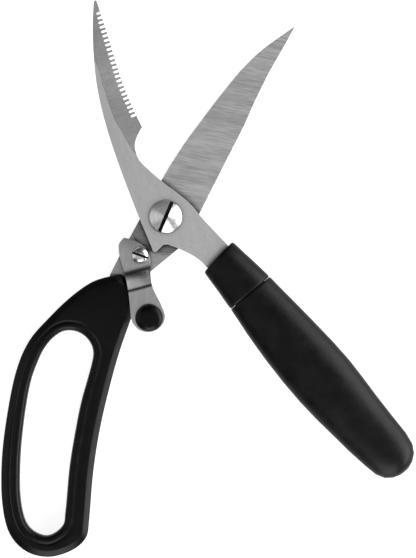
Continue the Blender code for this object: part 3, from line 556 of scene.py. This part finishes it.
def turnedFace(part):
    # a low dome cut by a turning tool: shallow grooves from the rim to the middle
    count = part["grooves"] * part["pointsPerGroove"]
    face = []
    for i in range(count):
        inwards = i / count
        rise = 1 - (1 - inwards) ** part["domePower"]
        dome = part["faceEdge"] + (part["crown"] - part["faceEdge"]) * rise
        wave = part["grooveDepth"] * (math.cos(2 * math.pi * i / part["pointsPerGroove"]) - 1)
        face.append((part["faceRim"] * (1 - inwards), dome + wave))
    return face + [(0.0, part["crown"])]


chamfer, (easeIn, easeUp) = part["rimChamfer"], part["rimEase"]
profile = [(0.0, part["foot"]), (part["shank"], part["foot"]), (part["shank"], part["seat"]),
           (part["rim"] - chamfer, part["seat"]), (part["rim"], part["seat"] + chamfer),
           (part["rim"], part["rimTop"]), (part["rim"] - easeIn, part["rimTop"] + easeUp)] + turnedFace(part)
# the slot's block is longer and taller than the head
slot = cubeAt((0.0, 0.0, part["slotFloor"] + 2.0), (18.0, part["slotWidth"], 4.0), part["slotAngle"])
mesh = cutWith(turned(profile, pivotCentre, part["sides"]), slot)
paintSlotShade(mesh, part["slotFloor"], part["crown"])
finishPiece("pivotScrewTurned", mesh, "loop_arm", "pivot_screw", [pivotScrewSteel, slotShadeSteel],
            part["sharpDegrees"])

pivotNut = {"chamfer": 0.35, "sharpDegrees": 40.0}
part = pivotNut
mesh = copyOfNode("pivot_nut")
bevelSharp(mesh, part["chamfer"], part["sharpDegrees"])
finishPiece("pivotNutChamfered", mesh, "loop_arm", "pivot_nut", [nutSteel],
            part["sharpDegrees"])
print("pivot done")


# latch lever, its screw and nut, and its knob

latchLever = {
    "outline": [(-17.7, -9.2), (-18.6, -9.45), (-20.3, -11.7), (-20.5, -13.4), (-20.0, -17.4), (-17.8, -25.1),
                (-16.2, -32.2), (-15.4, -39.3), (-14.9, -44.4), (-13.3, -47.4), (-10.8, -49.4), (-7.4, -50.0),
                (-3.9, -49.0), (-1.2, -46.4), (-0.3, -42.8), (-1.8, -38.4), (-4.0, -34.0), (-5.8, -30.0),
                (-6.5, -26.4), (-6.7, -22.6), (-6.8, -18.6), (-7.6, -15.6), (-9.9, -12.5), (-13.6, -10.2)],
    "down": (0.2571, -0.9664), "bottom": 5.95, "thickness": 1.5, "lift": 8.05, "mitre": 0.66,
    "folds": (6.37, 13.75), "foldRounds": (1.3, 0.6), "cutsPerFold": 6, "curveSteps": 3,
    "edgeBreak": 0.45, "edgeDegrees": 55.0, "edgeSegments": 3,
    "screwHole": 2.0, "rivetHole": 1.6, "countersink": (3.1, 0.5, 1.0), "holeSides": 48, "sharpDegrees": 32.0,
}
part = latchLever


def foldedHeight(distance, part):
    # height gained down the lever, level to slope and back to level with a rounding at each fold
    (first, last), (roundFirst, roundLast) = part["folds"], part["foldRounds"]
    slope = part["lift"] / (last - first)
    rise = min(max(distance - first, 0.0), last - first) * slope
    if abs(distance - first) < roundFirst:
        rise = slope * (distance - first + roundFirst) ** 2 / (4 * roundFirst)
    if abs(distance - last) < roundLast:
        rise = part["lift"] - slope * (last - distance + roundLast) ** 2 / (4 * roundLast)
    return rise


mesh = bmesh.new()
smoothRing(mesh, part["outline"], 0.0, part["curveSteps"])
down, origin = Vector((*part["down"], 0.0)), Vector(latchAxis)
cuts = [fold + reach * (2 * i / part["cutsPerFold"] - 1) + lower
        for fold, reach in zip(part["folds"], part["foldRounds"])
        for lower in (0.0, part["mitre"]) for i in range(part["cutsPerFold"] + 1)]
for distance in cuts:
    bmesh.ops.bisect_plane(mesh, geom=mesh.verts[:] + mesh.edges[:] + mesh.faces[:], dist=0.01 * mm,
                           plane_co=(origin + down * distance) * mm, plane_no=down)
under = mesh.verts[:]
grown = bmesh.ops.extrude_face_region(mesh, geom=mesh.faces[:], use_keep_orig=True)["geom"]
above = [g for g in grown if isinstance(g, bmesh.types.BMVert)]
for verts, base, shift in ((under, part["bottom"], part["mitre"]),
                           (above, part["bottom"] + part["thickness"], 0.0)):
    for vert in verts:
        distance = (vert.co / mm - origin).dot(down) - shift
        vert.co.z = (base + foldedHeight(distance, part)) * mm
bmesh.ops.recalc_face_normals(mesh, faces=mesh.faces)
bevelSharp(mesh, part["edgeBreak"], part["edgeDegrees"], part["edgeSegments"])
upperLow = part["bottom"] + part["lift"]
sinkRadius, sinkStart, sinkDepth = part["countersink"]
screwHole = turned([(0.0, 4.0), (part["screwHole"], 4.0), (part["screwHole"], 9.0), (0.0, 9.0)],
                   latchAxis, part["holeSides"])
rivetHole = turned([(0.0, upperLow - sinkStart), (sinkRadius, upperLow - sinkStart),
                    (part["rivetHole"], upperLow + sinkDepth), (part["rivetHole"], upperLow + 3.0),
                    (0.0, upperLow + 3.0)], knobCentre, part["holeSides"])
mesh = cutWith(mesh, screwHole, rivetHole)
finishPiece("latchLeverPressed", mesh, "latch", "latch_lever", [leverSteel],
            part["sharpDegrees"])

latchScrew = {"profile": [(0.0, 0.7), (1.7, 0.7), (1.7, 7.65), (3.4, 7.65), (3.7, 7.95), (3.7, 8.5),
                          (3.62, 8.75), (3.4, 9.1), (3.0, 9.5), (2.5, 9.82), (1.8, 10.08), (1.0, 10.21),
                          (0.0, 10.25)],
              "slotAngle": -19.0, "slotWidth": 1.0, "slotFloor": 8.8, "crown": 10.25, "sides": 72,
              "sharpDegrees": 24.0}
part = latchScrew
slot = cubeAt((latchAxis[0], latchAxis[1], part["slotFloor"] + 1.5), (9.0, part["slotWidth"], 3.0),
              part["slotAngle"])
mesh = cutWith(turned(part["profile"], latchAxis, part["sides"]), slot)
paintSlotShade(mesh, part["slotFloor"], part["crown"])
finishPiece("latchScrewTurned", mesh, "loop_arm", "latch_screw", [latchScrewSteel, slotShadeSteel],
            part["sharpDegrees"])

latchNut = {"chamfer": 0.25, "sharpDegrees": 40.0}
part = latchNut
mesh = copyOfNode("latch_nut")
bevelSharp(mesh, part["chamfer"], part["sharpDegrees"])
finishPiece("latchNutChamfered", mesh, "loop_arm", "latch_nut", [nutSteel],
            part["sharpDegrees"])

latchKnob = {"profile": [(0.0, 18.8), (1.6, 18.8), (1.6, 15.7), (5.4, 15.7), (5.75, 15.82), (5.95, 16.1),
                         (6.0, 16.5), (6.0, 19.0), (5.93, 19.6), (5.7, 20.2), (5.3, 20.75), (4.75, 21.15),
                         (4.0, 21.45), (3.0, 21.62), (1.6, 21.69), (0.0, 21.7)],
             "sides": 72, "sharpDegrees": 40.0}
part = latchKnob
mesh = turned(part["profile"], knobCentre, part["sides"])
finishPiece("latchKnobMoulded", mesh, "latch", "latch_knob", [knobPlastic],
            part["sharpDegrees"])
print("latch done")


# CAD nodes that stay as they are

stayingNodes = {"pivot_bush": hiddenSteel, "stop_pin": hiddenSteel, "latch_washer": hiddenSteel,
                "grip_tang_pin": hiddenSteel, "latch_knob_rivet": hiddenSteel,
                "pivot_spring_washer": springSteel, "opening_spring": springSteel}
for name, made in stayingNodes.items():
    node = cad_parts[name]
    node.data.materials.clear()
    node.data.materials.append(made)
print("hidden nodes finished")


# floor, lights and camera

stage = {"floorSize": 6000.0, "floorDrop": 0.05, "floorGlow": 0.88, "fibre": 40.0,
         "world": "#484848", "worldStrength": 1.0,
         "cameraHeight": 2600.0, "view": (18.3, -27.0), "viewTall": 242.7, "sensor": 36.0}
floorMesh = bmesh.new()
bmesh.ops.create_grid(floorMesh, x_segments=1, y_segments=1, size=stage["floorSize"] / 2 * mm,
                      matrix=Matrix.Translation((0.0, 0.0, -stage["floorDrop"] * mm)))
floorData = bpy.data.meshes.new("paperFloor")
floorMesh.to_mesh(floorData)
floorMesh.free()
floor = bpy.data.objects.new("paperFloor", floorData)
bpy.context.scene.collection.objects.link(floor)
# matt uncoated paper on a light table: nearly even, lit from below so that it reads as plain white
paper, paperTree, paperShader = newMaterial("paperSweep", Roughness=0.9)
fibres = addNode(paperTree, "ShaderNodeTexNoise", {
    "Vector": (placeOnPiece(paperTree, periods=(stage["fibre"],) * 3), "Vector"), "Scale": 1.0})
paperTone = addNode(paperTree, "ShaderNodeMix", {
    0: (fibres, "Fac"), 6: hexToLinear("#9A9A99"), 7: hexToLinear("#9E9E9D")}, data_type="RGBA")
paperTree.links.new(paperTone.outputs[2], paperShader.inputs["Base Color"])
paperShader.inputs["Emission Color"].default_value = (1.0, 1.0, 1.0, 1.0)
paperShader.inputs["Emission Strength"].default_value = stage["floorGlow"]
floorData.materials.append(paper)

world = bpy.data.worlds.new("studio")
world.use_nodes = True
world.node_tree.nodes["Background"].inputs["Color"].default_value = hexToLinear(stage["world"])
world.node_tree.nodes["Background"].inputs["Strength"].default_value = stage["worldStrength"]
bpy.context.scene.world = world

# place and aim, then width and height, all in millimetres, and radiance
softboxes = [
    ("softboxRight", (885.0, 330.0, 500.0), (0.0, -30.0, 0.0), 950.0, 900.0, 5.7),
    ("softboxRightLow", (915.0, -260.0, 330.0), (0.0, -60.0, 0.0), 620.0, 400.0, 8.0),
    ("softboxFront", (60.0, -950.0, 470.0), (0.0, -30.0, 0.0), 800.0, 900.0, 5.0),
    ("softboxLeft", (-880.0, 0.0, 560.0), (0.0, -30.0, 0.0), 900.0, 900.0, 1.0),
    ("softboxOverhead", (-100.0, -1000.0, 3200.0), (-100.0, -1000.0, 0.0), 3600.0, 3200.0, 0.55),
]
for name, place, aim, width, height, radiance in softboxes:
    light = bpy.data.lights.new(name, "AREA")
    light.shape, light.size, light.size_y = "RECTANGLE", width * mm, height * mm
    light.energy = radiance * math.pi * width * height * mm * mm
    lamp = bpy.data.objects.new(name, light)
    lamp.location = Vector(place) * mm
    lamp.rotation_euler = (Vector(aim) - Vector(place)).to_track_quat("-Z", "Y").to_euler()
    lamp.visible_camera = False
    bpy.context.scene.collection.objects.link(lamp)

cameraData = bpy.data.cameras.new("topCamera")
cameraData.sensor_width = stage["sensor"]
cameraData.lens = stage["sensor"] * stage["cameraHeight"] / stage["viewTall"]
cameraData.clip_start, cameraData.clip_end = 0.01, 100.0
camera = bpy.data.objects.new("topCamera", cameraData)
camera.location = Vector((*stage["view"], stage["cameraHeight"])) * mm
bpy.context.scene.collection.objects.link(camera)
bpy.context.scene.camera = camera
bpy.context.scene.view_settings.view_transform = "Standard"
print("stage ready")
